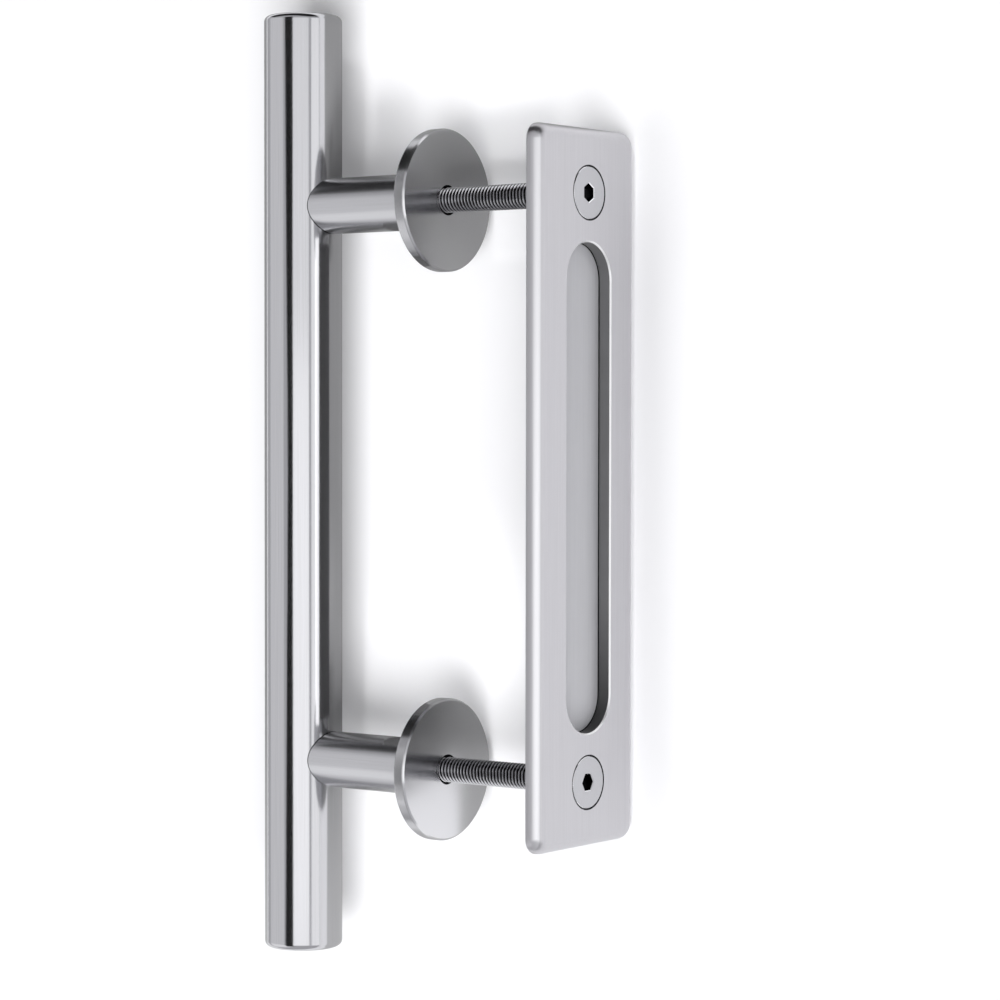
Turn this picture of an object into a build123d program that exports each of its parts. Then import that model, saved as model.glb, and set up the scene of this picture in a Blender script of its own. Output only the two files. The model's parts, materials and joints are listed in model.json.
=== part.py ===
from build123d import *
import os

# Two-sided barn door pull. X is the door's normal, Z is up. The origin is midway between the two
# bolts, on the plane where the rosettes lie on the door. The bar is at -X, the flush plate at +X.

# Driving dimensions in millimetres

# Bar
bolt_spacing = 180.0       # centre to centre of the two bolts
bar_overhang = 62.4        # bar beyond each bolt's axis
bar_diameter = 25.4
tube_wall = 1.5
cap_disc = 3.0             # end cap outside the tube
cap_edge_radius = 2.0
cap_spigot = 8.0           # end cap inside the tube
spigot_clearance = 0.05    # radial, caps and slugs in the tube

# Posts
post_length = 43.3         # bar's surface to rosette
post_diameter = 18.0
cope_gap = 0.1             # joint line between post and bar
cope_break = 0.3           # chamfer along that line
post_end_break = 0.3       # chamfer at the rosette

# Rosettes
rosette_diameter = 45.0
rosette_thickness = 4.0
rosette_chamfer = 0.6      # edge on the door
rosette_round = 0.5        # edge on the post's side

# Threads and studs
thread_diameter = 8.0
thread_play = 0.05         # radial, in tapped holes
hole_clearance = 0.5       # radial, in plain holes
tip_chamfer = 0.9
slug_length = 24.0
stud_past_axis = 6.0       # stud beyond the bar's axis
stud_engagement = 10.0     # stud in the post
stud_socket = 4.0          # across flats
stud_socket_depth = 4.0

# Bolts
bolt_engagement = 21.5     # bolt in the post
head_diameter = 16.0
head_land = 0.3            # straight rim of the head
head_gap = 0.15            # radial, head in its countersink
head_socket = 5.0          # across flats
head_socket_depth = 3.0
socket_break = 0.25        # chamfer round the socket's mouth
head_socket_turns = {"upper": 0.0, "lower": 30.0}

# Door and flush plate
door_gap = 49.0            # rosettes to plate
plate_thickness = 5.5
plate_width = 51.0
plate_end = 20.0           # plate beyond each bolt's axis
plate_corner_radius = 5.0
plate_edge_radius = 4.0    # round the front
plate_back_radius = 0.8    # round the back
slot_end = 15.0            # bolt's axis to the slot's end
slot_width = 23.0
slot_rim_chamfer = 0.4
slot_seam_chamfer = 0.4    # edge broken where the wall meets the floor
backing_thickness = 1.0
backing_lip = 5.0          # rabbet round the slot
backing_clearance = 0.1

# Worked out from them
half_spacing = bolt_spacing / 2
bar_half = half_spacing + bar_overhang
bar_radius = bar_diameter / 2
bore_radius = bar_radius - tube_wall
post_end_x = -rosette_thickness
bar_x = post_end_x - post_length - bar_radius
thread_radius = thread_diameter / 2
tapped_radius = thread_radius + thread_play
plain_radius = thread_radius + hole_clearance
plate_front = door_gap + plate_thickness
head_radius = head_diameter / 2
slot_length = bolt_spacing - 2 * slot_end


def across(x, z):
    """A plane square to the door's normal, its own x along the bar."""
    return Plane(origin=(x, 0, z), x_dir=(0, 0, 1), z_dir=(1, 0, 0))


def rod(radius, x_from, x_to, z):
    """A cylinder along the door's normal."""
    return extrude(across(x_from, z) * Circle(radius), x_to - x_from)


def turned(outline, z):
    """A solid turned about a bolt's axis from (x, radius) points that start and end on it."""
    points = [(x, 0, z + r) for x, r in outline]
    return revolve(make_face(Polyline(*points, close=True)), Axis((0, 0, z), (1, 0, 0)))


def hexagon(flats, x_from, x_to, z, turn=0.0):
    """A hexagonal prism along the door's normal."""
    face = across(x_from, z) * RegularPolygon(flats / 2, 6, major_radius=False, rotation=turn)
    return extrude(face, x_to - x_from)


def grip_tube():
    """The tube, with a clearance hole on the posts' side for each stud."""
    straight = 2 * (bar_half - cap_disc)
    tube = Cylinder(bar_radius, straight) - Cylinder(bore_radius, straight)
    tube = Pos(bar_x, 0, 0) * tube
    for z in (half_spacing, -half_spacing):
        tube -= rod(plain_radius, bar_x, bar_x + bar_diameter, z)
    return tube


def end_cap():
    """The top cap: a round-edged disc on the tube's end with a spigot in its bore."""
    base = (Align.CENTER, Align.CENTER, Align.MIN)
    disc = Cylinder(bar_radius, cap_disc, align=base)
    disc = fillet(disc.edges().sort_by(Axis.Z)[-1], cap_edge_radius)
    spigot = Cylinder(bore_radius - spigot_clearance, cap_spigot, align=base)
    cap = disc + Pos(0, 0, -cap_spigot) * spigot
    return Pos(bar_x, 0, bar_half - cap_disc) * cap


def anchor_slug(z):
    """A short round bar inside the tube, tapped across for the stud."""
    slug = Pos(bar_x, 0, z) * Cylinder(bore_radius - spigot_clearance, slug_length)
    return slug - rod(tapped_radius, bar_x - bar_radius, bar_x + bar_radius, z)


def post(z):
    """A round post, tapped right through and coped to sit on the bar."""
    body = rod(post_diameter / 2, bar_x, post_end_x, z)
    body = chamfer(body.edges().sort_by(Axis.X)[-1], post_end_break)
    body -= Pos(bar_x, 0, z) * Cylinder(bar_radius + cope_gap, 2 * post_diameter)
    body = chamfer(body.edges().filter_by(GeomType.BSPLINE), cope_break)
    return body - rod(tapped_radius, bar_x, post_end_x, z)


def post_stud(z):
    """A headless stud from the slug to the post, with a socket at the post's end."""
    tail = bar_x - stud_past_axis
    nose = bar_x + bar_radius + stud_engagement
    flat = thread_radius - tip_chamfer
    outline = [
        (tail, 0), (tail, flat), (tail + tip_chamfer, thread_radius),
        (nose - tip_chamfer, thread_radius), (nose, flat), (nose, 0),
    ]
    return turned(outline, z) - hexagon(stud_socket, nose - stud_socket_depth, nose, z)


def rosette(z):
    """A round disc between post and door, with a clearance hole for the bolt."""
    disc = rod(rosette_diameter / 2, post_end_x, 0, z)
    disc = chamfer(disc.edges().sort_by(Axis.X)[-1], rosette_chamfer)
    disc = fillet(disc.edges().sort_by(Axis.X)[0], rosette_round)
    return disc - rod(plain_radius, post_end_x, 0, z)


def bolt(z, socket_turn):
    """A countersunk bolt, its head flush with the plate's face and its tip in the post."""
    cone_top = plate_front - head_land
    cone_foot = cone_top - (head_radius - thread_radius)
    tip = post_end_x - bolt_engagement
    outline = [
        (plate_front, 0), (plate_front, head_radius), (cone_top, head_radius),
        (cone_foot, thread_radius), (tip + tip_chamfer, thread_radius),
        (tip, thread_radius - tip_chamfer), (tip, 0),
    ]
    socket_floor = plate_front - head_socket_depth
    body = turned(outline, z) - hexagon(head_socket, socket_floor, plate_front, z, socket_turn)
    mouth = body.edges().filter_by(GeomType.LINE).group_by(Axis.X)[-1]
    return chamfer(mouth, socket_break)


def countersink(z):
    """The plain hole and its 90 degree cone, clear of the bolt all round."""
    cone_foot = plate_front - head_land - (head_radius - thread_radius)
    cone_wide = plate_front - cone_foot + thread_radius + head_gap
    foot_x = plate_front - (cone_wide - plain_radius)
    outline = [
        (door_gap, 0), (door_gap, plain_radius), (foot_x, plain_radius),
        (plate_front, cone_wide), (plate_front, 0),
    ]
    return turned(outline, z)


def flush_plate():
    """A round-cornered plate with a long slot, rabbeted behind for the slot's floor."""
    height = bolt_spacing + 2 * plate_end
    outline = across(door_gap, 0) * RectangleRounded(height, plate_width, plate_corner_radius)
    plate = extrude(outline, plate_thickness)
    plate = fillet(plate.faces().sort_by(Axis.X)[-1].edges(), plate_edge_radius)
    plate = fillet(plate.faces().sort_by(Axis.X)[0].edges(), plate_back_radius)
    plate -= extrude(across(door_gap, 0) * SlotOverall(slot_length, slot_width), plate_thickness)
    rabbet = SlotOverall(slot_length + 2 * backing_lip, slot_width + 2 * backing_lip)
    plate -= extrude(across(door_gap, 0) * rabbet, backing_thickness)
    front = plate.faces().filter_by(Axis.X).sort_by(Axis.X)[-1]
    plate = chamfer(front.inner_wires()[0].edges(), slot_rim_chamfer)
    step = plate.faces().filter_by(Axis.X).sort_by(Axis.X)[1]
    plate = chamfer(step.inner_wires()[0].edges(), slot_seam_chamfer)
    for z in (half_spacing, -half_spacing):
        plate -= countersink(z)
    return plate


def recess_backing():
    """The thin sheet that closes the slot from behind, flush with the plate's back."""
    lip = 2 * (backing_lip - backing_clearance)
    sheet = across(door_gap, 0) * SlotOverall(slot_length + lip, slot_width + lip)
    return extrude(sheet, backing_thickness)


pieces = {
    "grip_tube": grip_tube(),
    "top_end_cap": end_cap(),
    "bottom_end_cap": mirror(end_cap(), Plane.XY),
    "flush_plate": flush_plate(),
    "recess_backing": recess_backing(),
}
for end, height in (("upper", half_spacing), ("lower", -half_spacing)):
    pieces[end + "_anchor_slug"] = anchor_slug(height)
    pieces[end + "_post"] = post(height)
    pieces[end + "_post_stud"] = post_stud(height)
    pieces[end + "_rosette"] = rosette(height)
    pieces[end + "_bolt"] = bolt(height, head_socket_turns[end])

os.makedirs("parts", exist_ok=True)
for name, piece in pieces.items():
    export_step(piece, f"parts/{name}.step")
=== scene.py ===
# %% [markdown]
# # A barn door pull in brushed stainless steel
# The part is a pull bar on two posts, two round rosettes, two long bolts and a flush plate with a
# finger recess. The solids come from CAD at their real size. This lesson gives each surface its
# finish, cuts real threads on the bolts, and lights the set as a product picture is lit: white
# behind, soft lamps in front and below, and dark boards for the black stripes bright metal needs.

# %% Load the solids and keep their box
import json
import math

import bmesh
import bpy
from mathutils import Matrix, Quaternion, Vector


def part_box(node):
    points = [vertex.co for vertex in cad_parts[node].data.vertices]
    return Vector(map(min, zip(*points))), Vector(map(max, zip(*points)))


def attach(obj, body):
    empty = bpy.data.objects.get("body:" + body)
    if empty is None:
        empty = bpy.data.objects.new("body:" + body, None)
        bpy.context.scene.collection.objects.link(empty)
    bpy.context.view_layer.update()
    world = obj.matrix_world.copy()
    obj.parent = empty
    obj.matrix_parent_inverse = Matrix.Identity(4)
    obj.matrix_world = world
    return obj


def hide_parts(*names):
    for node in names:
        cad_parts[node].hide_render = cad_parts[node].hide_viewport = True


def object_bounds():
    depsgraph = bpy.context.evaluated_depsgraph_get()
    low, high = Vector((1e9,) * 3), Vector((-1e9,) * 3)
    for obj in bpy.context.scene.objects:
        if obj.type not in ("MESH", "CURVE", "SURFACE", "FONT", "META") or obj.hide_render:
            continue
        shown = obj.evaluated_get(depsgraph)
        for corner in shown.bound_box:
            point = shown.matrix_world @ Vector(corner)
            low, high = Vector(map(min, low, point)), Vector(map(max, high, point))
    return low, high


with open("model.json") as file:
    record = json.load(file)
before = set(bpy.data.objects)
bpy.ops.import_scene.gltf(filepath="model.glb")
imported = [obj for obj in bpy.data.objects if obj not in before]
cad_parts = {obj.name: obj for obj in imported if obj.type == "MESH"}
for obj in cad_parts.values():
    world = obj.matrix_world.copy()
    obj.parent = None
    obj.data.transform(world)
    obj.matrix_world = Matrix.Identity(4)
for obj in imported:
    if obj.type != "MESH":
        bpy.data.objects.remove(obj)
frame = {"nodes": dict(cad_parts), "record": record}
cad_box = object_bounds()
nodes = frame["nodes"]
MM = 0.001
print("solids:", len(nodes), "box in mm:", [round(v / MM, 1) for v in cad_box[1] - cad_box[0]])

# %% [markdown]
# ## Camera
# The camera comes first, because every later judgement is made through it. About sixty edges were
# measured in the photograph and a pinhole camera was fitted to them with the sizes held: it stands
# to the right of the door's normal, a little above the middle, with a lens of about 107 mm on a
# 36 mm sensor. A long lens keeps the bar's two edges nearly parallel, as they are in the picture.

# %% Place the camera
CAMERA_PLACE = Vector((577.5, -743.0, 22.9)) * MM
CAMERA_TURN = math.radians(36.85)      # from +Y towards -X
CAMERA_TILT = math.radians(-1.67)
CAMERA_ROLL = math.radians(0.07)
SENSOR_MM = 36.0
FOCAL_PIXELS = 2977.0
FRAME_PIXELS = 1000.0

ahead = Vector((
    -math.sin(CAMERA_TURN) * math.cos(CAMERA_TILT),
    math.cos(CAMERA_TURN) * math.cos(CAMERA_TILT),
    math.sin(CAMERA_TILT),
))
camera = bpy.data.objects.new("camera", bpy.data.cameras.new("camera"))
bpy.context.scene.collection.objects.link(camera)
camera.data.sensor_width = SENSOR_MM
camera.data.lens = FOCAL_PIXELS / FRAME_PIXELS * SENSOR_MM
camera.location = CAMERA_PLACE
camera.rotation_mode = "QUATERNION"
camera.rotation_quaternion = ahead.to_track_quat("-Z", "Y") @ Quaternion((0, 0, 1), CAMERA_ROLL)
bpy.context.scene.camera = camera
bpy.context.scene.view_settings.view_transform = "Standard"
print("lens:", round(camera.data.lens, 1), "mm, distance:", round(CAMERA_PLACE.length, 3), "m")

# %% [markdown]
# ## Two helpers
# Colours are written as the sRGB hex values a screen shows, and turned to linear light here once.
# The second helper adds a shader or geometry node with its settings, values and links in one call.
# A value may be a number, another node's socket, or a node, which stands for its first output.

# %% Colour and node helpers
MATH = "ShaderNodeMath"
VECTOR = "ShaderNodeVectorMath"
RANGE = "ShaderNodeMapRange"
MIX = "ShaderNodeMix"
COLOUR_A, COLOUR_B, COLOUR_OUT = 6, 7, 2      # where a mix node keeps its colours


def linear(hex_colour):
    """An sRGB hex colour as linear RGBA."""
    channels = [int(hex_colour[i:i + 2], 16) / 255 for i in (1, 3, 5)]
    return [c / 12.92 if c <= 0.04045 else ((c + 0.055) / 1.055) ** 2.4 for c in channels] + [1.0]


def add(tree, kind, inputs=None, **settings):
    """A new node in a tree, with its settings, and its inputs set or linked."""
    made = tree.nodes.new(kind)
    for key, value in settings.items():
        setattr(made, key, value)
    for key, value in (inputs or {}).items():
        source = value.outputs[0] if isinstance(value, bpy.types.Node) else value
        if isinstance(source, bpy.types.NodeSocket):
            tree.links.new(source, made.inputs[key])
        else:
            made.inputs[key].default_value = source
    return made


print("a middle grey on the screen is", round(linear("#808080")[0], 3), "in linear light")

# %% [markdown]
# ## Stainless steel and its finishes
# Stainless steel is bare metal, so all its look is reflection. An abrasive belt leaves hairlines a
# fraction of a millimetre wide and some centimetres long that run one way: streaks that are a little
# rougher or smoother, and a faint unevenness in height. A noise stretched along the grain gives both.
# Across the grain a reflection is smeared, and along it it stays sharp, which is what the shader's
# anisotropy does. The real hairlines are finer than a pixel, so they are drawn as coarse as they
# need to be to show, about 0.3 mm wide.

# %% Steel that follows a pattern
AXES = {"X": (1, 0, 0), "Z": (0, 0, 1)}
HAIRLINE_WIDTH_MM = 0.3
HAIRLINE_LENGTH_MM = 40.0
HAIRLINE_DEPTH_MM = 0.01
NOISE_DETAIL = 3.0
NOISE_GRIT = 0.6
NOISE_SPAN = (0.25, 0.75)      # most of a noise lies between these
BUMP_STRENGTH = 0.2


def new_material(name):
    """A new material with its tree and its shader."""
    material = bpy.data.materials.new(name)
    material.use_nodes = True
    return material, material.node_tree, material.node_tree.nodes["Principled BSDF"]


def hairlines(tree, grain):
    """Noise from 0 to 1, stretched along one axis of the object."""
    spread = Vector((1, 1, 1)) / (HAIRLINE_WIDTH_MM * MM)
    spread["XYZ".index(grain)] = 1 / (HAIRLINE_LENGTH_MM * MM)
    where = add(tree, "ShaderNodeTexCoord").outputs["Object"]
    stretched = add(tree, "ShaderNodeMapping", {"Vector": where, "Scale": spread})
    return add(tree, "ShaderNodeTexNoise", {
        "Vector": stretched, "Scale": 1.0, "Detail": NOISE_DETAIL, "Roughness": NOISE_GRIT})


def follow(tree, shader, pattern, shades, roughness, depth_mm):
    """Let the steel's shade, roughness and height follow a pattern from 0 to 1."""
    even = add(tree, RANGE, {"Value": pattern, "From Min": NOISE_SPAN[0], "From Max": NOISE_SPAN[1]})
    rough = add(tree, RANGE, {"Value": even, "To Min": roughness[0], "To Max": roughness[1]})
    shade = add(tree, MIX, {
        0: even, COLOUR_A: linear(shades[0]), COLOUR_B: linear(shades[1])}, data_type="RGBA")
    bump = add(tree, "ShaderNodeBump", {
        "Height": even, "Strength": BUMP_STRENGTH, "Distance": depth_mm * MM})
    tree.links.new(rough.outputs["Result"], shader.inputs["Roughness"])
    tree.links.new(shade.outputs[COLOUR_OUT], shader.inputs["Base Color"])
    tree.links.new(bump.outputs["Normal"], shader.inputs["Normal"])
    shader.inputs["Metallic"].default_value = 1.0


def brushed(name, grain, shades, roughness, smear):
    """Stainless steel brushed along one axis, which smears reflections across it."""
    material, tree, shader = new_material(name)
    follow(tree, shader, hairlines(tree, grain), shades, roughness, HAIRLINE_DEPTH_MM)
    if smear:
        facing = add(tree, "ShaderNodeNewGeometry").outputs["Normal"]
        across = add(tree, VECTOR, {0: facing, 1: AXES[grain]}, operation="CROSS_PRODUCT")
        tree.links.new(across.outputs[0], shader.inputs["Tangent"])
        shader.inputs["Anisotropic"].default_value = smear
    return material


# Belt-polished to a fine satin: nearly a mirror, so the bar shows clear stripes of lamp and board
bar_steel = brushed(
    "stainless_bar_satin_polished", "Z", ("#CACACC", "#D2D2D5"), roughness=(0.1, 0.15), smear=0.0)
# Polished along the post with a coarser belt: the same stripes with soft edges, smeared round it
post_steel = brushed(
    "stainless_post_satin_polished", "X", ("#CACACC", "#D2D2D5"), roughness=(0.2, 0.26), smear=0.5)
# Rolled between dies: smooth and bright, so each crest carries a fine glint
bolt_steel = brushed(
    "stainless_bolt_rolled_thread", "X", ("#CFCFD2", "#D9D9DC"), roughness=(0.14, 0.2), smear=0.0)
# Left as turned: dull and darker, for slugs and studs inside the bar
inner_steel = brushed(
    "steel_slug_as_turned", "X", ("#9A9A9C", "#A8A8AA"), roughness=(0.3, 0.4), smear=0.0)
print("brushed finishes:", len(bpy.data.materials))

# %% [markdown]
# Each post is coped, so its end follows the bar's round, and the fine gap in the joint lies in shade.
# The gap itself is narrower than a pixel, so its shade is painted as a black line, as wide as it needs
# to be to show. Everything within a fraction of a millimetre of the bar belongs to it, so the distance
# to the bar's axis draws it.

# %% Painted shade line in the post joints
BAR_LOW, BAR_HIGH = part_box("grip_tube")
BAR_X = (BAR_LOW.x + BAR_HIGH.x) / 2
JOINT_LINE_MM = 0.5


def repaint(tree, mask, hex_colour):
    """Lay a colour over the shader's own where a mask is 1."""
    colour = tree.nodes["Principled BSDF"].inputs["Base Color"]
    under = colour.links[0].from_socket
    shade = add(tree, MIX, {0: mask, COLOUR_A: under, COLOUR_B: linear(hex_colour)}, data_type="RGBA")
    tree.links.new(shade.outputs[COLOUR_OUT], colour)


post_tree = post_steel.node_tree
post_place = add(post_tree, "ShaderNodeTexCoord").outputs["Object"]
from_bar = add(post_tree, VECTOR, {0: post_place, 1: (BAR_X, 0, 0)}, operation="SUBTRACT")
level_with_bar = add(post_tree, VECTOR, {0: from_bar, 1: (1, 1, 0)}, operation="MULTIPLY")
bar_distance = add(post_tree, VECTOR, {0: level_with_bar}, operation="LENGTH").outputs["Value"]
joint_reach = BAR_HIGH.y + JOINT_LINE_MM * MM
joint_shade = add(post_tree, MATH, {0: bar_distance, 1: joint_reach}, operation="LESS_THAN")
# Painted shade of the gap between post and bar
repaint(post_tree, joint_shade, "#161616")
print("joint line within", round(joint_reach / MM, 1), "mm of the bar's axis")

# %% [markdown]
# ## Rosettes: a faced disc
# A rosette is parted off round bar and faced on a lathe, so its tool marks are rings round the bolt.
# Rings smear a reflection outwards from the centre: it breaks into fans, and the bolt's own mirror
# image stays a clear dark band to the left of its hole. One noise along the radius draws the rings.
# The clearance hole is deep and unlit, so a ring of painted shade is laid round its mouth. Both
# rosettes share the material, because the distance to the nearer bolt is the same sum for both.

# %% Ring-turned steel
BOLT_Z = sum(corner.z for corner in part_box("upper_bolt")) / 2
ROSETTE_RADIUS = (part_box("upper_rosette")[1].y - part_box("upper_rosette")[0].y) / 2
RING_WIDTH_MM = 0.2
RIM_MARGIN_MM = 0.2
HOLE_SHADE_MM = 4.8


def round_bolt(tree):
    """The place along the nearer bolt, the way out from its axis and the distance to it."""
    where = add(tree, "ShaderNodeTexCoord").outputs["Object"]
    along, y, z = add(tree, "ShaderNodeSeparateXYZ", {0: where}).outputs
    half = add(tree, MATH, {0: z}, operation="SIGN")
    from_bolt = add(tree, MATH, {0: half, 1: -BOLT_Z, 2: z}, operation="MULTIPLY_ADD")
    outwards = add(tree, "ShaderNodeCombineXYZ", {1: y, 2: from_bolt})
    radius = add(tree, VECTOR, {0: outwards}, operation="LENGTH").outputs["Value"]
    return along, outwards, radius


def faced(name, shades, rim_shade, roughness, smear, depth_mm):
    """Stainless steel with turned rings on its face and rim, round the nearer bolt's axis."""
    material, tree, shader = new_material(name)
    along, outwards, radius = round_bolt(tree)
    rim_radius = ROSETTE_RADIUS - RIM_MARGIN_MM * MM
    inside = add(tree, MATH, {0: radius, 1: rim_radius}, operation="MINIMUM")
    feed = add(tree, MATH, {0: inside, 1: along}, operation="ADD")
    rings = add(tree, "ShaderNodeTexNoise", {
        "W": feed, "Scale": 1 / (RING_WIDTH_MM * MM), "Detail": NOISE_DETAIL}, noise_dimensions="1D")
    follow(tree, shader, rings, shades, roughness, depth_mm)
    on_rim = add(tree, MATH, {0: radius, 1: rim_radius}, operation="GREATER_THAN")
    repaint(tree, on_rim, rim_shade)
    hole_shade_ring = add(tree, MATH, {0: radius, 1: HOLE_SHADE_MM * MM}, operation="LESS_THAN")
    # Painted shade round the mouth of the hole
    repaint(tree, hole_shade_ring, "#1C1C1E")
    facing = add(tree, "ShaderNodeNewGeometry").outputs["Normal"]
    ring = add(tree, VECTOR, {0: AXES["X"], 1: outwards}, operation="CROSS_PRODUCT")
    across = add(tree, VECTOR, {0: facing, 1: ring}, operation="CROSS_PRODUCT")
    tree.links.new(across.outputs[0], shader.inputs["Tangent"])
    shader.inputs["Anisotropic"].default_value = smear
    return material


# Faced on a lathe: pale, with fans of light round the bolt and a greyer rim
rosette_steel = faced(
    "stainless_rosette_faced", ("#DCDCDE", "#E2E2E4"), rim_shade="#C4C4C6",
    roughness=(0.19, 0.22), smear=0.75, depth_mm=0.002)
print("rosette rings round z =", round(BOLT_Z / MM, 1), "mm")

# %% [markdown]
# A rolled thread is bright on its crests, where the dies press hardest, and its roots are painted dark
# with the shade that fills them. The socket, a hollow too, is painted with a lighter shade. Both lie
# close to the bolt's axis, so the distance to it darkens them. The head is as grey as the plate it sits
# in, and just below its top the broken edges carry a bright painted highlight.

# %% Painted shade in roots and sockets, painted highlight on the broken edges
HEAD_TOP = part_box("upper_bolt")[1].x
ROOT_SHADE_FULL_MM = 3.5
ROOT_SHADE_END_MM = 3.9
HEAD_DEPTH_MM = 4.3
BROKEN_EDGE_MM = 0.28
TOP_SKIN_MM = 0.02
bolt_tree = bolt_steel.node_tree
bolt_x, _, axis_distance = round_bolt(bolt_tree)
deep = add(bolt_tree, RANGE, {
    "Value": axis_distance, "From Min": ROOT_SHADE_FULL_MM * MM, "From Max": ROOT_SHADE_END_MM * MM,
    "To Min": 1.0, "To Max": 0.0})
under_edge = add(bolt_tree, MATH, {
    0: bolt_x, 1: HEAD_TOP - BROKEN_EDGE_MM * MM}, operation="LESS_THAN")
under_top = add(bolt_tree, MATH, {
    0: bolt_x, 1: HEAD_TOP - TOP_SKIN_MM * MM}, operation="LESS_THAN")
on_head = add(bolt_tree, MATH, {
    0: bolt_x, 1: HEAD_TOP - HEAD_DEPTH_MM * MM}, operation="GREATER_THAN")
dark = add(bolt_tree, MATH, {0: deep, 1: under_edge}, operation="MULTIPLY")
socket_shade = add(bolt_tree, MATH, {0: dark, 1: on_head}, operation="MULTIPLY")
broken = add(bolt_tree, MATH, {0: under_top, 1: under_edge}, operation="SUBTRACT")
repaint(bolt_tree, on_head, "#BEBEC1")
# Painted shade in the thread's roots, a lighter painted shade in the socket, painted highlight on the
# broken edges
repaint(bolt_tree, dark, "#121214")
repaint(bolt_tree, socket_shade, "#505052")
repaint(bolt_tree, broken, "#F4F4F6")
print("bolt roots darken below", ROOT_SHADE_END_MM, "mm")

# %% [markdown]
# ## Flush plate: brushed face, milled slot, buffed edge with a painted highlight
# The plate's face is brushed up and down after the slot is milled, so the slot's wall keeps the
# cutter's duller finish. The wall is painted with the recess's shade, darker towards its lower end, and
# the chamfer at its mouth with a bright painted highlight. The wall could be a material of its own on
# picked faces, but it is simpler to find it by its distance from the slot's middle line, which is the
# same for the straight sides and the round ends. The backing sheet lies in a rabbet a lip wider than
# the slot, so its box gives the slot's size.

# %% Brushed plate, painted shade on the slot wall, painted highlight on its chamfer
PLATE_LOW, PLATE_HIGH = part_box("flush_plate")
BACKING_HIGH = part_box("recess_backing")[1]
BACKING_LIP_MM = 4.9
SLOT_HALF_WIDTH = BACKING_HIGH.y - BACKING_LIP_MM * MM
SLOT_STRAIGHT_HALF = BACKING_HIGH.z - BACKING_HIGH.y
WALL_MARGIN_MM = 0.1
CHAMFER_MARGIN_MM = 0.45
WALL_ROUGHNESS = 0.42
WALL_PALE_Z_MM = -35.0
WALL_DARK_Z_MM = -72.0


def round_slot(tree):
    """A place's coordinates and its distance from the slot's middle line."""
    where = add(tree, "ShaderNodeTexCoord").outputs["Object"]
    x, y, z = add(tree, "ShaderNodeSeparateXYZ", {0: where}).outputs
    height = add(tree, MATH, {0: z}, operation="ABSOLUTE")
    past_straight = add(tree, MATH, {0: height, 1: SLOT_STRAIGHT_HALF}, operation="SUBTRACT")
    past_end = add(tree, MATH, {0: past_straight, 1: 0.0}, operation="MAXIMUM")
    from_middle = add(tree, "ShaderNodeCombineXYZ", {1: y, 2: past_end})
    reach = add(tree, VECTOR, {0: from_middle}, operation="LENGTH").outputs["Value"]
    return x, y, z, reach


# Brushed by belt: an even grey with faint upright hairlines and soft reflections
plate_steel = brushed(
    "stainless_plate_hairline_brushed", "Z", ("#C4C3C6", "#CCCBCE"), roughness=(0.29, 0.37), smear=0.5)
plate_tree = plate_steel.node_tree
plate_x, plate_y, plate_z, plate_reach = round_slot(plate_tree)
wall_reach = SLOT_HALF_WIDTH + WALL_MARGIN_MM * MM
chamfer_reach = SLOT_HALF_WIDTH + CHAMFER_MARGIN_MM * MM
on_wall = add(plate_tree, MATH, {0: plate_reach, 1: wall_reach}, operation="LESS_THAN")
in_mouth = add(plate_tree, MATH, {0: plate_reach, 1: chamfer_reach}, operation="LESS_THAN")
at_front = add(plate_tree, MATH, {
    0: plate_x, 1: PLATE_HIGH.x - CHAMFER_MARGIN_MM * MM}, operation="GREATER_THAN")
chamfer_highlight = add(plate_tree, MATH, {0: in_mouth, 1: at_front}, operation="MULTIPLY")
lower_end = add(plate_tree, RANGE, {
    "Value": plate_z, "From Min": WALL_PALE_Z_MM * MM, "From Max": WALL_DARK_Z_MM * MM})
lower_wall_shade = add(plate_tree, MATH, {0: on_wall, 1: lower_end}, operation="MULTIPLY")
# Painted shade on the slot wall, deeper towards its lower end, and a painted highlight on the chamfer
repaint(plate_tree, on_wall, "#969696")
repaint(plate_tree, lower_wall_shade, "#545454")
repaint(plate_tree, chamfer_highlight, "#F6F6F6")
plate_roughness = plate_tree.nodes["Principled BSDF"].inputs["Roughness"]
face_rough = plate_roughness.links[0].from_socket
face_or_wall = add(plate_tree, RANGE, {
    "Value": on_wall, "To Min": face_rough, "To Max": WALL_ROUGHNESS})
plate_tree.links.new(face_or_wall.outputs["Result"], plate_roughness)
print("slot wall within", round(wall_reach / MM, 1), "mm of its middle line")

# %% [markdown]
# The countersinks are painted with the shade of the gap round the bolt heads, where they show. Behind
# the slot lies a thin sheet with a duller brushing, so it stays an even pale grey where a bright one
# would mirror the lamps. A part of its light is scattered, which a metallic value below 1 gives. A
# black seam of painted shade runs round it where it goes under the plate. Both painted shades stop
# short of the backs, which are bare metal.

# %% Countersinks and backing sheet
COUNTERSINK_MM = 8.5
SEAM_MM = 0.15
BACK_SKIN_MM = 0.5
MATT_METAL = 0.55
back_skin = PLATE_LOW.x + BACK_SKIN_MM * MM
seam_reach = SLOT_HALF_WIDTH - SEAM_MM * MM

bolt_distance = round_bolt(plate_tree)[2]
in_hole = add(plate_tree, MATH, {0: bolt_distance, 1: COUNTERSINK_MM * MM}, operation="LESS_THAN")
off_back = add(plate_tree, MATH, {0: plate_x, 1: back_skin}, operation="GREATER_THAN")
countersunk = add(plate_tree, MATH, {0: in_hole, 1: off_back}, operation="MULTIPLY")
# Painted shade of the gap round the heads, where the countersinks show
repaint(plate_tree, countersunk, "#262628")

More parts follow.
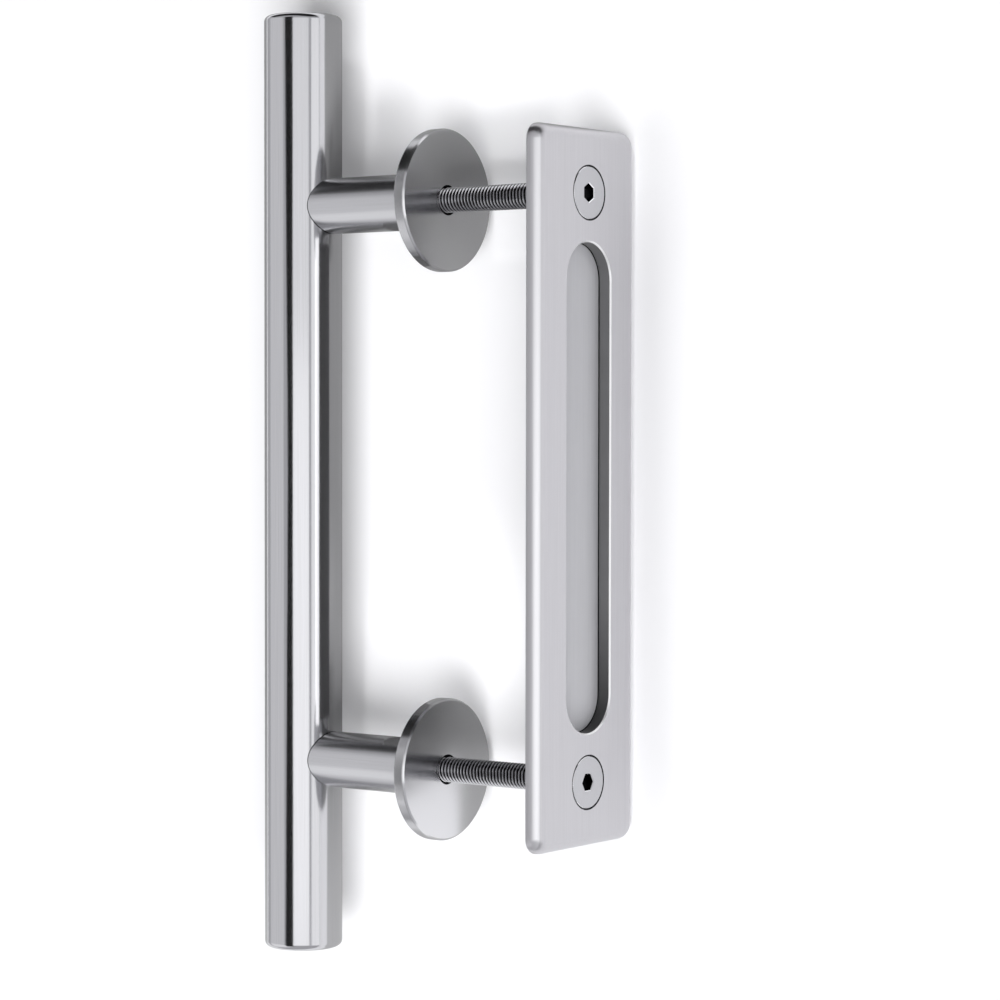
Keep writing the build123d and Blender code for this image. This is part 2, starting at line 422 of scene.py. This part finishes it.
# Brushed thin sheet: matt, so it shows one even tone with hardly a reflection
backing_steel = brushed(
    "stainless_sheet_hairline_brushed", "Z", ("#CACACD", "#D2D2D5"), roughness=(0.66, 0.74), smear=0.0)
backing_tree = backing_steel.node_tree
backing_tree.nodes["Principled BSDF"].inputs["Metallic"].default_value = MATT_METAL
backing_x, _, _, backing_reach = round_slot(backing_tree)
past_wall = add(backing_tree, MATH, {0: backing_reach, 1: seam_reach}, operation="GREATER_THAN")
on_front = add(backing_tree, MATH, {0: backing_x, 1: back_skin}, operation="GREATER_THAN")
seam_shade = add(backing_tree, MATH, {0: past_wall, 1: on_front}, operation="MULTIPLY")
# Painted shade of the seam where the sheet goes under the plate
repaint(backing_tree, seam_shade, "#0C0C0C")
print("seam from", round(seam_reach / MM, 2), "mm outwards")

# %% [markdown]
# The plate's long sides are rounded over and buffed, while its ends keep the brushing. Each round
# carries a painted highlight, which grows brighter from the flat side towards the face and stops where
# the brushing begins.

# %% Painted highlight on the buffed sides of the plate
EDGE_FROM_MM = 1.7
EDGE_FULL_MM = 1.3
ROUND_FROM_MM = 4.0
ROUND_FULL_MM = 1.2
to_either_side = add(plate_tree, MATH, {0: plate_y}, operation="ABSOLUTE")
past_side = add(plate_tree, MATH, {0: to_either_side, 1: PLATE_HIGH.y}, operation="SUBTRACT")
near_edge = add(plate_tree, RANGE, {
    "Value": past_side, "From Min": -EDGE_FROM_MM * MM, "From Max": -EDGE_FULL_MM * MM})
towards_face = add(plate_tree, RANGE, {
    "Value": plate_x, "From Min": PLATE_HIGH.x - ROUND_FROM_MM * MM,
    "From Max": PLATE_HIGH.x - ROUND_FULL_MM * MM})
buffed_highlight = add(plate_tree, MATH, {0: near_edge, 1: towards_face}, operation="MULTIPLY")
# Painted highlight along the rounded long sides
repaint(plate_tree, buffed_highlight, "#EEEEF0")
print("buffed sides up to", EDGE_FROM_MM, "mm in from the outline")

# %% [markdown]
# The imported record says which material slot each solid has, so one table from slots to finishes
# dresses them all, and pieces that share a slot always match.

# %% Give each solid its finish
FINISHES = {
    "bar": bar_steel, "post": post_steel, "rosette": rosette_steel, "plate": plate_steel,
    "backing": backing_steel, "bolt": bolt_steel, "inner": inner_steel,
}
for subpart in frame["record"]["subparts"]:
    solid = nodes[subpart["node"]]
    solid.data.materials.clear()
    solid.data.materials.append(FINISHES[subpart["material_slot"]])
print("finished solids:", len(nodes))

# %% [markdown]
# ## Bolt threads
# Each bolt is an M8 countersunk screw, threaded to its head. The thread could be swept along a helix
# and joined to a core, but that leaves two shells that cut through each other. Here one grid is
# rolled round the axis instead, with its rows running along the helix: two rows for each root and two
# for each crest, so every edge of the thread is a clean line. Rows that would run past an end are
# held at it, where they fall together and are merged.

# %% Thread tree: sizes and grid
SEGMENTS = 48
ROWS_PER_TURN = 4
THREAD_INPUTS = {
    "Pitch": "NodeSocketFloat", "Major Radius": "NodeSocketFloat", "Root Radius": "NodeSocketFloat",
    "Tip Radius": "NodeSocketFloat", "Length": "NodeSocketFloat", "Tip X": "NodeSocketFloat",
    "Axis Z": "NodeSocketFloat", "Turns": "NodeSocketInt", "Material": "NodeSocketMaterial",
}
thread = bpy.data.node_groups.new("rolled_thread", "GeometryNodeTree")
for name, kind in THREAD_INPUTS.items():
    thread.interface.new_socket(name, in_out="INPUT", socket_type=kind)
thread.interface.new_socket("Geometry", in_out="OUTPUT", socket_type="NodeSocketGeometry")

given = add(thread, "NodeGroupInput").outputs
rows = add(thread, MATH, {0: given["Turns"], 1: ROWS_PER_TURN}, operation="MULTIPLY")
grid = add(thread, "GeometryNodeMeshGrid", {"Vertices X": rows, "Vertices Y": SEGMENTS + 1})
index = add(thread, "GeometryNodeInputIndex")
rows_before = add(thread, MATH, {0: index, 1: SEGMENTS + 1}, operation="DIVIDE")
row = add(thread, MATH, {0: rows_before}, operation="FLOOR")
column = add(thread, MATH, {0: index, 1: SEGMENTS + 1}, operation="MODULO")
turn = add(thread, MATH, {0: column, 1: SEGMENTS}, operation="DIVIDE")
print("thread rows per turn:", ROWS_PER_TURN, "points round it:", SEGMENTS)

# %% [markdown]
# The metric thread has 60 degree flanks, a crest an eighth of the pitch wide and a root a quarter
# wide. So a root's edges lie an eighth of a pitch to each side of its middle, and a crest's edges a
# sixteenth to each side of the half-way point. One spare turn before the tip and one past the head
# are held at the ends. Near the tip the radius is held to a 45 degree cone, and at the head it rises
# to the full radius.

# %% Thread tree: profile
ROOT_HALF = 1 / 8
CREST_HALF = 1 / 16
SPARE_TURNS = 2
turns_before = add(thread, MATH, {0: row, 1: ROWS_PER_TURN}, operation="DIVIDE")
whole_turns = add(thread, MATH, {0: turns_before}, operation="FLOOR")
row_in_turn = add(thread, MATH, {0: row, 1: ROWS_PER_TURN}, operation="MODULO")
crest = add(thread, MATH, {0: row_in_turn, 1: ROWS_PER_TURN / 2 - 0.5}, operation="GREATER_THAN")
odd = add(thread, MATH, {0: row, 1: 2}, operation="MODULO")
side = add(thread, MATH, {0: odd, 1: 2.0, 2: -1.0}, operation="MULTIPLY_ADD")
half_flat = add(thread, MATH, {
    0: crest, 1: CREST_HALF - ROOT_HALF, 2: ROOT_HALF}, operation="MULTIPLY_ADD")
middle = add(thread, MATH, {0: crest, 1: 0.5, 2: whole_turns}, operation="MULTIPLY_ADD")
edge = add(thread, MATH, {0: side, 1: half_flat, 2: middle}, operation="MULTIPLY_ADD")
advance = add(thread, MATH, {0: edge, 1: turn}, operation="ADD")
from_tip = add(thread, MATH, {0: advance, 1: SPARE_TURNS / 2}, operation="SUBTRACT")
run = add(thread, MATH, {0: from_tip, 1: given["Pitch"]}, operation="MULTIPLY")
along = add(thread, "ShaderNodeClamp", {"Value": run, "Min": 0.0, "Max": given["Length"]})
depth = add(thread, MATH, {0: given["Major Radius"], 1: given["Root Radius"]}, operation="SUBTRACT")
profile = add(thread, MATH, {0: crest, 1: depth, 2: given["Root Radius"]}, operation="MULTIPLY_ADD")
tip_cone = add(thread, MATH, {0: given["Tip Radius"], 1: along}, operation="ADD")
tapered = add(thread, MATH, {0: profile, 1: tip_cone}, operation="MINIMUM")
to_head = add(thread, MATH, {0: given["Length"], 1: along}, operation="SUBTRACT")
head_cone = add(thread, MATH, {0: given["Major Radius"], 1: to_head}, operation="SUBTRACT")
radius = add(thread, MATH, {0: tapered, 1: head_cone}, operation="MAXIMUM")
print("thread profile nodes:", len(thread.nodes))

# %% [markdown]
# With a place along the axis, a turn and a radius, each point of the grid can be put where it belongs.
# The first and the last column then lie on each other, and merging them closes the shank.

# %% Thread tree: rolling
MERGE = 0.002 * MM
angle = add(thread, MATH, {0: turn, 1: 2 * math.pi}, operation="MULTIPLY")
cosine = add(thread, MATH, {0: angle}, operation="COSINE")
sine = add(thread, MATH, {0: angle}, operation="SINE")
place_x = add(thread, MATH, {0: given["Tip X"], 1: along}, operation="ADD")
place_y = add(thread, MATH, {0: radius, 1: cosine}, operation="MULTIPLY")
place_z = add(thread, MATH, {0: radius, 1: sine, 2: given["Axis Z"]}, operation="MULTIPLY_ADD")
place = add(thread, "ShaderNodeCombineXYZ", {0: place_x, 1: place_y, 2: place_z})
rolled = add(thread, "GeometryNodeSetPosition", {"Geometry": grid, "Position": place})
closed = add(thread, "GeometryNodeMergeByDistance", {"Geometry": rolled, "Distance": MERGE})
plain = add(thread, "GeometryNodeRealizeInstances", {"Geometry": closed})
coated = add(thread, "GeometryNodeSetMaterial", {"Geometry": plain, "Material": given["Material"]})
add(thread, "NodeGroupOutput", {"Geometry": coated})
print("thread tree nodes:", len(thread.nodes))

# %% [markdown]
# The tree is run once for each bolt on an empty mesh, with that bolt's sizes, and its result is kept
# as a plain mesh, so that the head can be welded to it.

# %% Shank from the thread tree
THREAD_PITCH = 1.25 * MM
THREAD_MAJOR = 4.0 * MM
THREAD_ROOT = 3.32 * MM
TIP_FLAT = 3.1 * MM


def rolled_thread(node, length, tip_x, axis_z):
    """The threaded shank of one bolt as a plain mesh."""
    holder = bpy.data.objects.new(node + "_shank", bpy.data.meshes.new(node + "_shank"))
    bpy.context.scene.collection.objects.link(holder)
    modifier = holder.modifiers.new("thread", "NODES")
    modifier.node_group = thread
    sizes = {
        "Pitch": THREAD_PITCH, "Major Radius": THREAD_MAJOR, "Root Radius": THREAD_ROOT,
        "Tip Radius": TIP_FLAT, "Length": length, "Tip X": tip_x, "Axis Z": axis_z,
        "Turns": math.ceil(length / THREAD_PITCH) + SPARE_TURNS, "Material": bolt_steel,
    }
    for item in thread.interface.items_tree:
        if item.in_out == "INPUT":
            modifier[item.identifier] = sizes[item.name]
    shaped = holder.evaluated_get(bpy.context.evaluated_depsgraph_get())
    mesh = bpy.data.meshes.new_from_object(shaped)
    bpy.data.objects.remove(holder)
    return mesh


print("thread pitch:", round(THREAD_PITCH / MM, 2), "mm")

# %% [markdown]
# The head is turned in one with the thread: a 90 degree cone, a short rim, a flat top with a broken
# edge and a hexagon socket. It is skinned from rings with as many points as the thread has, so that
# the two weld into one closed shell. The socket's corners fall on those points, since 48 is 8 sixes.
# The upper socket stands with a corner up, and the lower one is turned by a twelfth.

# %% Bolt heads and finished bolts
HEAD_RIM = 0.3 * MM
EDGE_BREAK = 0.12 * MM
SOCKET_HALF_FLATS = 2.5 * MM
SOCKET_DEPTH = 3.0 * MM
SOCKET_BREAK = 0.25 * MM
SOCKET_CORNERS_DEG = {"upper_bolt": 90, "lower_bolt": 60}
CREASE = math.radians(25)


def skin_rings(shape, rings, axis_z):
    """Skin rings round a bolt's axis, each an x and a function from angle to radius."""
    angles = [2 * math.pi * i / SEGMENTS for i in range(SEGMENTS)]
    loops = []
    for x, reach in rings:
        loops.append([
            shape.verts.new((x, reach(a) * math.cos(a), axis_z + reach(a) * math.sin(a)))
            for a in angles])
    for near, far in zip(loops, loops[1:]):
        for i in range(SEGMENTS):
            j = (i + 1) % SEGMENTS
            shape.faces.new((near[i], near[j], far[j], far[i]))
    shape.faces.new(loops[-1])


def threaded_bolt(node):
    """A bolt with its thread, head and socket, in place of the plain solid."""
    low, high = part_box(node)
    axis_z = (low.z + high.z) / 2
    head_radius = (high.y - low.y) / 2
    cone_top = high.x - HEAD_RIM
    cone_foot = cone_top - (head_radius - THREAD_MAJOR)
    corner = math.radians(SOCKET_CORNERS_DEG[node])

    def circle(reach):
        return lambda a: reach

    def hexagon(flats):
        return lambda a: flats / math.cos((a - corner) % (math.pi / 3) - math.pi / 6)

    mesh = rolled_thread(node, cone_foot - low.x, low.x, axis_z)
    shape = bmesh.new()
    shape.from_mesh(mesh)
    # The tree's own slots are dropped, so that shank and head share one
    for face in shape.faces:
        face.material_index = 0
    mesh.materials.clear()
    mesh.materials.append(bolt_steel)
    skin_rings(shape, [
        (cone_foot, circle(THREAD_MAJOR)), (cone_top, circle(head_radius)),
        (high.x - EDGE_BREAK, circle(head_radius)), (high.x, circle(head_radius - EDGE_BREAK)),
        (high.x, hexagon(SOCKET_HALF_FLATS + SOCKET_BREAK)),
        (high.x - SOCKET_BREAK, hexagon(SOCKET_HALF_FLATS)),
        (high.x - SOCKET_DEPTH, hexagon(SOCKET_HALF_FLATS))], axis_z)
    skin_rings(shape, [(low.x, circle(TIP_FLAT))], axis_z)
    bmesh.ops.remove_doubles(shape, verts=shape.verts, dist=MERGE)
    bmesh.ops.recalc_face_normals(shape, faces=shape.faces)
    open_edges = sum(1 for rim in shape.edges if not rim.is_manifold)
    shape.to_mesh(mesh)
    shape.free()
    mesh.shade_smooth()
    mesh.set_sharp_from_angle(angle=CREASE)
    bolt = bpy.data.objects.new("threaded_" + node, mesh)
    bpy.context.scene.collection.objects.link(bolt)
    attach(bolt, "root")
    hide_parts(node)
    print(bolt.name, "faces:", len(mesh.polygons), "open edges:", open_edges)


for node in SOCKET_CORNERS_DEG:
    threaded_bolt(node)

# %% [markdown]
# ## Stage
# In the photograph the set rests on a white surface that touches the plate's far edge, and soft
# shadows fall on it beside and above each piece. So the floor here is a white sheet just behind the
# plate, upright in this frame. It is clear from behind, so the set can be looked at from all sides.
# It glows a little for the camera and for reflections, so that white is white.

# %% White floor
FLOOR_GAP = 0.5 * MM
FLOOR_HALF = 2.0
FLOOR_GLOW = 0.04


def sheet(name, corners, material):
    """A flat stage piece with these corners."""
    mesh = bpy.data.meshes.new(name)
    mesh.from_pydata([tuple(c) for c in corners], [], [range(len(corners))])
    mesh.materials.append(material)
    made = bpy.data.objects.new(name, mesh)
    bpy.context.scene.collection.objects.link(made)
    return made


def seen_rays(tree):
    """A socket that is 1 for the camera and for reflections, and 0 for soft light."""
    path = add(tree, "ShaderNodeLightPath").outputs
    seen = add(tree, MATH, {0: path["Is Camera Ray"], 1: path["Is Glossy Ray"]}, operation="MAXIMUM")
    return add(tree, MATH, {0: seen, 1: path["Is Transmission Ray"]}, operation="MAXIMUM")


# Matt white paper: even and without gloss, so it takes shadows and nothing else
floor_paper, paper_tree, paper_shader = new_material("white_paper_matt")
paper_tree.nodes.remove(paper_shader)
glow = add(paper_tree, MATH, {0: seen_rays(paper_tree), 1: FLOOR_GLOW}, operation="MULTIPLY")
paper = add(paper_tree, "ShaderNodeBsdfDiffuse", {"Color": linear("#F2F2F4")})
light = add(paper_tree, "ShaderNodeEmission", {"Strength": glow})
front = add(paper_tree, "ShaderNodeAddShader", {0: paper, 1: light})
behind = add(paper_tree, "ShaderNodeNewGeometry").outputs["Backfacing"]
clear = add(paper_tree, "ShaderNodeBsdfTransparent")
either = add(paper_tree, "ShaderNodeMixShader", {0: behind, 1: front, 2: clear})
paper_tree.links.new(either.outputs[0], paper_tree.nodes["Material Output"].inputs["Surface"])

floor_y = cad_box[1].y + FLOOR_GAP
sheet("floor", [
    (-FLOOR_HALF, floor_y, -FLOOR_HALF), (FLOOR_HALF, floor_y, -FLOOR_HALF),
    (FLOOR_HALF, floor_y, FLOOR_HALF), (-FLOOR_HALF, floor_y, FLOOR_HALF)], floor_paper)
print("floor at y", round(floor_y / MM, 1), "mm")

# %% [markdown]
# ## Sun and shadow fills
# The shadows in the picture fall up and a little to the right, so the main light is a soft sun from
# below the camera. A sun is as even all over the floor as a lamp far away, and the metal doesn't mirror
# it here. Its shadows are darker than the picture's above each rosette and the plate and at both ends
# of the bar, so a weak spot lifts each of them.

# %% Sun and fills
SUN_FROM = (-60, -25)               # azimuth and elevation in degrees
SUN_SPREAD_DEG = 38
SUN_STRENGTH = 3.3
FILL_FROM_ABOVE = (-75, 38)
FILL_FROM_BELOW = (-22, -30)
FILL_CONE_DEG = 13
FILL_RADIUS = 30 * MM
FILL_DISTANCE = 250 * MM


def direction(azimuth_deg, elevation_deg):
    """A direction from the object's middle; azimuth 0 is +X and -90 is in front."""
    azimuth = math.radians(azimuth_deg)
    elevation = math.radians(elevation_deg)
    flat = math.cos(elevation)
    return Vector((flat * math.cos(azimuth), flat * math.sin(azimuth), math.sin(elevation)))


def place_lamp(name, data, place, aim=Vector((0, 0, 0)), mirrored=True):
    """Put a lamp somewhere, aimed at a place and unseen by the camera."""
    lamp = bpy.data.objects.new(name, data)
    lamp.location = place
    lamp.rotation_mode = "QUATERNION"
    lamp.rotation_quaternion = (aim - place).to_track_quat("-Z", "Y")
    lamp.visible_camera = False
    lamp.visible_glossy = mirrored
    bpy.context.scene.collection.objects.link(lamp)


def shadow_fill(name, x_mm, z_mm, power, source):
    """A small spot that lightens one shadow on the floor and isn't mirrored."""
    data = bpy.data.lights.new(name, "SPOT")
    data.energy = power
    data.spot_size = math.radians(FILL_CONE_DEG)
    data.spot_blend = 1.0
    data.shadow_soft_size = FILL_RADIUS
    aim = Vector((x_mm * MM, floor_y, z_mm * MM))
    place_lamp(name, data, aim + direction(*source) * FILL_DISTANCE, aim, mirrored=False)


sun = bpy.data.lights.new("low_sun", "SUN")
sun.energy = SUN_STRENGTH
sun.angle = math.radians(SUN_SPREAD_DEG)
place_lamp("low_sun", sun, direction(*SUN_FROM), mirrored=False)
shadow_fill("plate_fill", x_mm=36, z_mm=120, power=2.7, source=FILL_FROM_ABOVE)
shadow_fill("upper_fill", x_mm=-17.5, z_mm=118, power=2.1, source=FILL_FROM_ABOVE)
shadow_fill("lower_fill", x_mm=-18.5, z_mm=-61, power=2.7, source=FILL_FROM_ABOVE)
shadow_fill("bar_top_fill", x_mm=-56, z_mm=152, power=0.8, source=FILL_FROM_ABOVE)
shadow_fill("bar_foot_fill", x_mm=-56, z_mm=-118, power=2.0, source=FILL_FROM_BELOW)

# %% [markdown]
# ## Soft lamps
# Bright metal shows the studio, so each lamp is laid out by the range of directions it fills, seen
# from the object: that range is what a round bar shows as a stripe. A soft lamp round the camera draws
# the bar's broad bright band, with a second one over its lower half. A narrow lamp to the right draws
# the second band, and two dim ones on the left light the plate's edge and the posts.

# %% Soft lamps
POWER_PER_RADIANCE = 4              # watts for a square metre of lamp


def soft_light(name, width, height, radiance):
    """A rectangular light that is as bright as its radiance, whatever its size."""
    data = bpy.data.lights.new(name, "AREA")
    data.shape = "RECTANGLE"
    data.size = width
    data.size_y = height
    data.energy = radiance * POWER_PER_RADIANCE * data.size * data.size_y
    return data


def soft_lamp(name, azimuths, elevations, distance, radiance):
    """A lamp that fills a range of azimuths and elevations, in degrees."""
    width = 2 * distance * math.tan(math.radians(azimuths[1] - azimuths[0]) / 2)
    height = 2 * distance * math.tan(math.radians(elevations[1] - elevations[0]) / 2)
    place = direction(sum(azimuths) / 2, sum(elevations) / 2) * distance
    place_lamp(name, soft_light(name, width, height, radiance), place)


soft_lamp("band_lamp", azimuths=(-84, -34), elevations=(-19, 16), distance=1.4, radiance=0.4)
soft_lamp("low_band_lamp", azimuths=(-84, -34), elevations=(-19, 3), distance=1.4, radiance=0.25)
soft_lamp("strip_lamp", azimuths=(-27, -1), elevations=(-25, 16), distance=1.3, radiance=0.5)
soft_lamp("left_lamp", azimuths=(-165, -112), elevations=(-45, 25), distance=1.2, radiance=0.2)
soft_lamp("low_left_lamp", azimuths=(-165, -112), elevations=(-55, -22), distance=1.2, radiance=0.2)
print("lights so far:", len(bpy.data.lights))

# %% [markdown]
# ## Boards and the hand gap
# What makes metal look like metal is the dark between the lamps. A black board near the bar, drawn in
# at half its height on one side, gives the dark line down the bar, and one overhead darkens the top of
# each post. In the hand gap a grey card stands in for the dark door that the bar would mirror, and a
# strip of light beside it draws the fine bright line next to that dark side.

# %% Boards, gap card and gap strip
CARD_ROUGHNESS = 0.9
OVERHEAD_X = (-1.1, 1.0)
OVERHEAD_Y = (-0.6, 0.02)
OVERHEAD_Z = 0.75
BAR_BOARD_REACH = 0.12
BAR_BOARD_RISE = Vector((0, 0, 0.2))
BAR_BOARD_AZIMUTHS = (-104, -79)
BAR_BOARD_WAIST = -94
GAP_X = -25 * MM
GAP_CARD_Y = (-5.8 * MM, 13.2 * MM)
GAP_CARD_RISE = 79 * MM
STRIP_WIDTH = 6 * MM
STRIP_HEIGHT = 162 * MM
STRIP_RADIANCE = 0.9
STRIP_Y = -9.4 * MM


def board(name, corners, material):
    """A stage piece that the camera doesn't see."""
    made = sheet(name, corners, material)
    made.visible_camera = False
    return made


def card(name, shade):
    """Matt card, which shows in the metal as an even tone."""
    material, _, shader = new_material(name)
    shader.inputs["Base Color"].default_value = linear(shade)
    shader.inputs["Roughness"].default_value = CARD_ROUGHNESS
    return material


def beside_bar(azimuth_deg):
    """A place at the bar board's reach from the bar's axis."""
    return Vector((BAR_X, 0, 0)) + direction(azimuth_deg, 0) * BAR_BOARD_REACH


# Painted card: matt, so the metal shows it as one even dark or grey stripe
black_card = card("black_card_matt", "#101010")
grey_card = card("grey_card_matt", "#767676")
board("overhead_board", [
    (OVERHEAD_X[0], OVERHEAD_Y[0], OVERHEAD_Z), (OVERHEAD_X[1], OVERHEAD_Y[0], OVERHEAD_Z),
    (OVERHEAD_X[1], OVERHEAD_Y[1], OVERHEAD_Z), (OVERHEAD_X[0], OVERHEAD_Y[1], OVERHEAD_Z)], black_card)
board_left, board_right = [beside_bar(azimuth) for azimuth in BAR_BOARD_AZIMUTHS]
bar_board = board("bar_board", [
    board_left - BAR_BOARD_RISE, board_right - BAR_BOARD_RISE,
    board_right + BAR_BOARD_RISE, board_left + BAR_BOARD_RISE, beside_bar(BAR_BOARD_WAIST)], black_card)
gap_card = board("gap_card", [
    (GAP_X, GAP_CARD_Y[0], -GAP_CARD_RISE), (GAP_X, GAP_CARD_Y[1], -GAP_CARD_RISE),
    (GAP_X, GAP_CARD_Y[1], GAP_CARD_RISE), (GAP_X, GAP_CARD_Y[0], GAP_CARD_RISE)], grey_card)
strip = soft_light("gap_strip", STRIP_WIDTH, STRIP_HEIGHT, STRIP_RADIANCE)
place_lamp("gap_strip", strip, Vector((GAP_X, STRIP_Y, 0)), Vector((BAR_X, STRIP_Y, 0)))
print("gap card:", round(2 * GAP_CARD_RISE / MM), "mm high, strip:", round(STRIP_HEIGHT / MM), "mm")

# %% [markdown]
# ## Flag and nets
# A flag is a black card that keeps a lamp off one place, and a net is a flag with holes, which takes
# only a part of the light. Here a flag makes the soft fringe along the plate's right side, and two nets
# deepen the shade on both sides of the upper rosette. Neither the camera nor the metal sees them.

# %% Flag and nets
FLAG_FOOT_X = (0.075, 0.083)
FLAG_TOP_X = (0.070, 0.089)
FLAG_Y = -0.034
FLAG_Z = (-0.13, 0.1)
NET_OPEN = 0.45
NETS_MM = {                         # from and to in X, from and to in Z, distance from the floor
    "post_net": (-44.5, -25, 98.5, 120, 22),
    "bolt_net": (0, 28, 88, 116, 14),
}
flag = board("plate_flag", [
    (FLAG_FOOT_X[0], FLAG_Y, FLAG_Z[0]), (FLAG_FOOT_X[1], FLAG_Y, FLAG_Z[0]),
    (FLAG_TOP_X[1], FLAG_Y, FLAG_Z[1]), (FLAG_TOP_X[0], FLAG_Y, FLAG_Z[1])], black_card)

# Black net: nearly half of it is holes, so its shadow is a soft grey
black_net, net_tree, net_shader = new_material("black_net_thin")
net_tree.nodes.remove(net_shader)
net_threads = add(net_tree, "ShaderNodeBsdfDiffuse", {"Color": linear("#101010")})
net_holes = add(net_tree, "ShaderNodeBsdfTransparent")
net_weave = add(net_tree, "ShaderNodeMixShader", {0: NET_OPEN, 1: net_threads, 2: net_holes})
net_tree.links.new(net_weave.outputs[0], net_tree.nodes["Material Output"].inputs["Surface"])

light_takers = [flag]
for name, sizes_mm in NETS_MM.items():
    left, right, low, high, off_floor = [size * MM for size in sizes_mm]
    net_y = floor_y - off_floor
    light_takers.append(board(name, [
        (left, net_y, low), (right, net_y, low), (right, net_y, high), (left, net_y, high)], black_net))
for taker in light_takers:
    taker.visible_glossy = False
    taker.visible_diffuse = False
print("flag and nets:", [taker.name for taker in light_takers])

# %% [markdown]
# ## Grey paper for the far sides
# The far sides of the bar, posts and rosettes mirror the floor, and over plain white they would be as
# pale as their fronts. So a sheet of grey paper that only the metal sees lies on the floor. It is paler
# at its foot and to the right of the hand gap, where the metal that mirrors it is paler, and its lower
# right corner is cut away for the bright side of the lower rosette.

# %% Graded grey paper
GREY_Z = (-0.16, -0.08)             # pale below the first, full grey above the second
PATCH_X = (0.008, 0.034)
PATCH_TOP_Z = (0.1, 0.07)
PATCH_FOOT_Z = -0.04
SHEET_GAP = 0.2 * MM
SHEET_LEFT = -0.35
SHEET_RIGHT = 0.047
SHEET_HALF = 0.2
NOTCH_X = 0.015
NOTCH_Z = -0.092

# Graded grey paper: matt, so the metal shows it as soft tones
grey_paper, grey_tree, grey_shader = new_material("grey_paper_graded")
grey_place = add(grey_tree, "ShaderNodeTexCoord").outputs["Object"]
grey_x, _, grey_z = add(grey_tree, "ShaderNodeSeparateXYZ", {0: grey_place}).outputs
upwards = add(grey_tree, RANGE, {"Value": grey_z, "From Min": GREY_Z[0], "From Max": GREY_Z[1]})
grey_graded = add(grey_tree, MIX, {
    0: upwards, COLOUR_A: linear("#C4C4C4"), COLOUR_B: linear("#A0A0A0")}, data_type="RGBA")
to_right = add(grey_tree, RANGE, {"Value": grey_x, "From Min": PATCH_X[0], "From Max": PATCH_X[1]})
downwards = add(grey_tree, RANGE, {
    "Value": grey_z, "From Min": PATCH_TOP_Z[0], "From Max": PATCH_TOP_Z[1]})
above_foot = add(grey_tree, MATH, {0: grey_z, 1: PATCH_FOOT_Z}, operation="GREATER_THAN")
patch_corner = add(grey_tree, MATH, {0: to_right, 1: downwards}, operation="MULTIPLY")
patch = add(grey_tree, MATH, {0: patch_corner, 1: above_foot}, operation="MULTIPLY")
grey_patched = add(grey_tree, MIX, {
    0: patch, COLOUR_A: grey_graded.outputs[COLOUR_OUT], COLOUR_B: linear("#E4E4E4")}, data_type="RGBA")
grey_tree.links.new(grey_patched.outputs[COLOUR_OUT], grey_shader.inputs["Base Color"])
grey_shader.inputs["Roughness"].default_value = CARD_ROUGHNESS

sheet_y = floor_y - SHEET_GAP
grey_sheet = board("grey_sheet", [
    (SHEET_LEFT, sheet_y, -SHEET_HALF), (NOTCH_X, sheet_y, -SHEET_HALF), (NOTCH_X, sheet_y, NOTCH_Z),
    (SHEET_RIGHT, sheet_y, NOTCH_Z), (SHEET_RIGHT, sheet_y, SHEET_HALF),
    (SHEET_LEFT, sheet_y, SHEET_HALF)], grey_paper)
for mirrored_only in (bar_board, gap_card, grey_sheet):
    mirrored_only.visible_diffuse = False
    mirrored_only.visible_shadow = False
print("grey paper", round(SHEET_GAP / MM, 1), "mm in front of the floor")

# %% [markdown]
# ## Sky
# The sky is a plain grey all round. The camera and the metal see it paler than soft light does, so
# that the shadows on the floor aren't washed out.

# %% Sky
SKY_SOFT = 0.15
SKY_SEEN_MORE = 0.4
world = bpy.data.worlds.new("studio_grey")
world.use_nodes = True
sky_tree = world.node_tree
sky = sky_tree.nodes["Background"]
sky.inputs["Color"].default_value = linear("#F8F8FC")
sky_level = add(sky_tree, MATH, {
    0: seen_rays(sky_tree), 1: SKY_SEEN_MORE, 2: SKY_SOFT}, operation="MULTIPLY_ADD")
sky_tree.links.new(sky_level.outputs[0], sky.inputs["Strength"])
bpy.context.scene.world = world
print("sky for soft light:", SKY_SOFT, "for the eye:", round(SKY_SOFT + SKY_SEEN_MORE, 2))
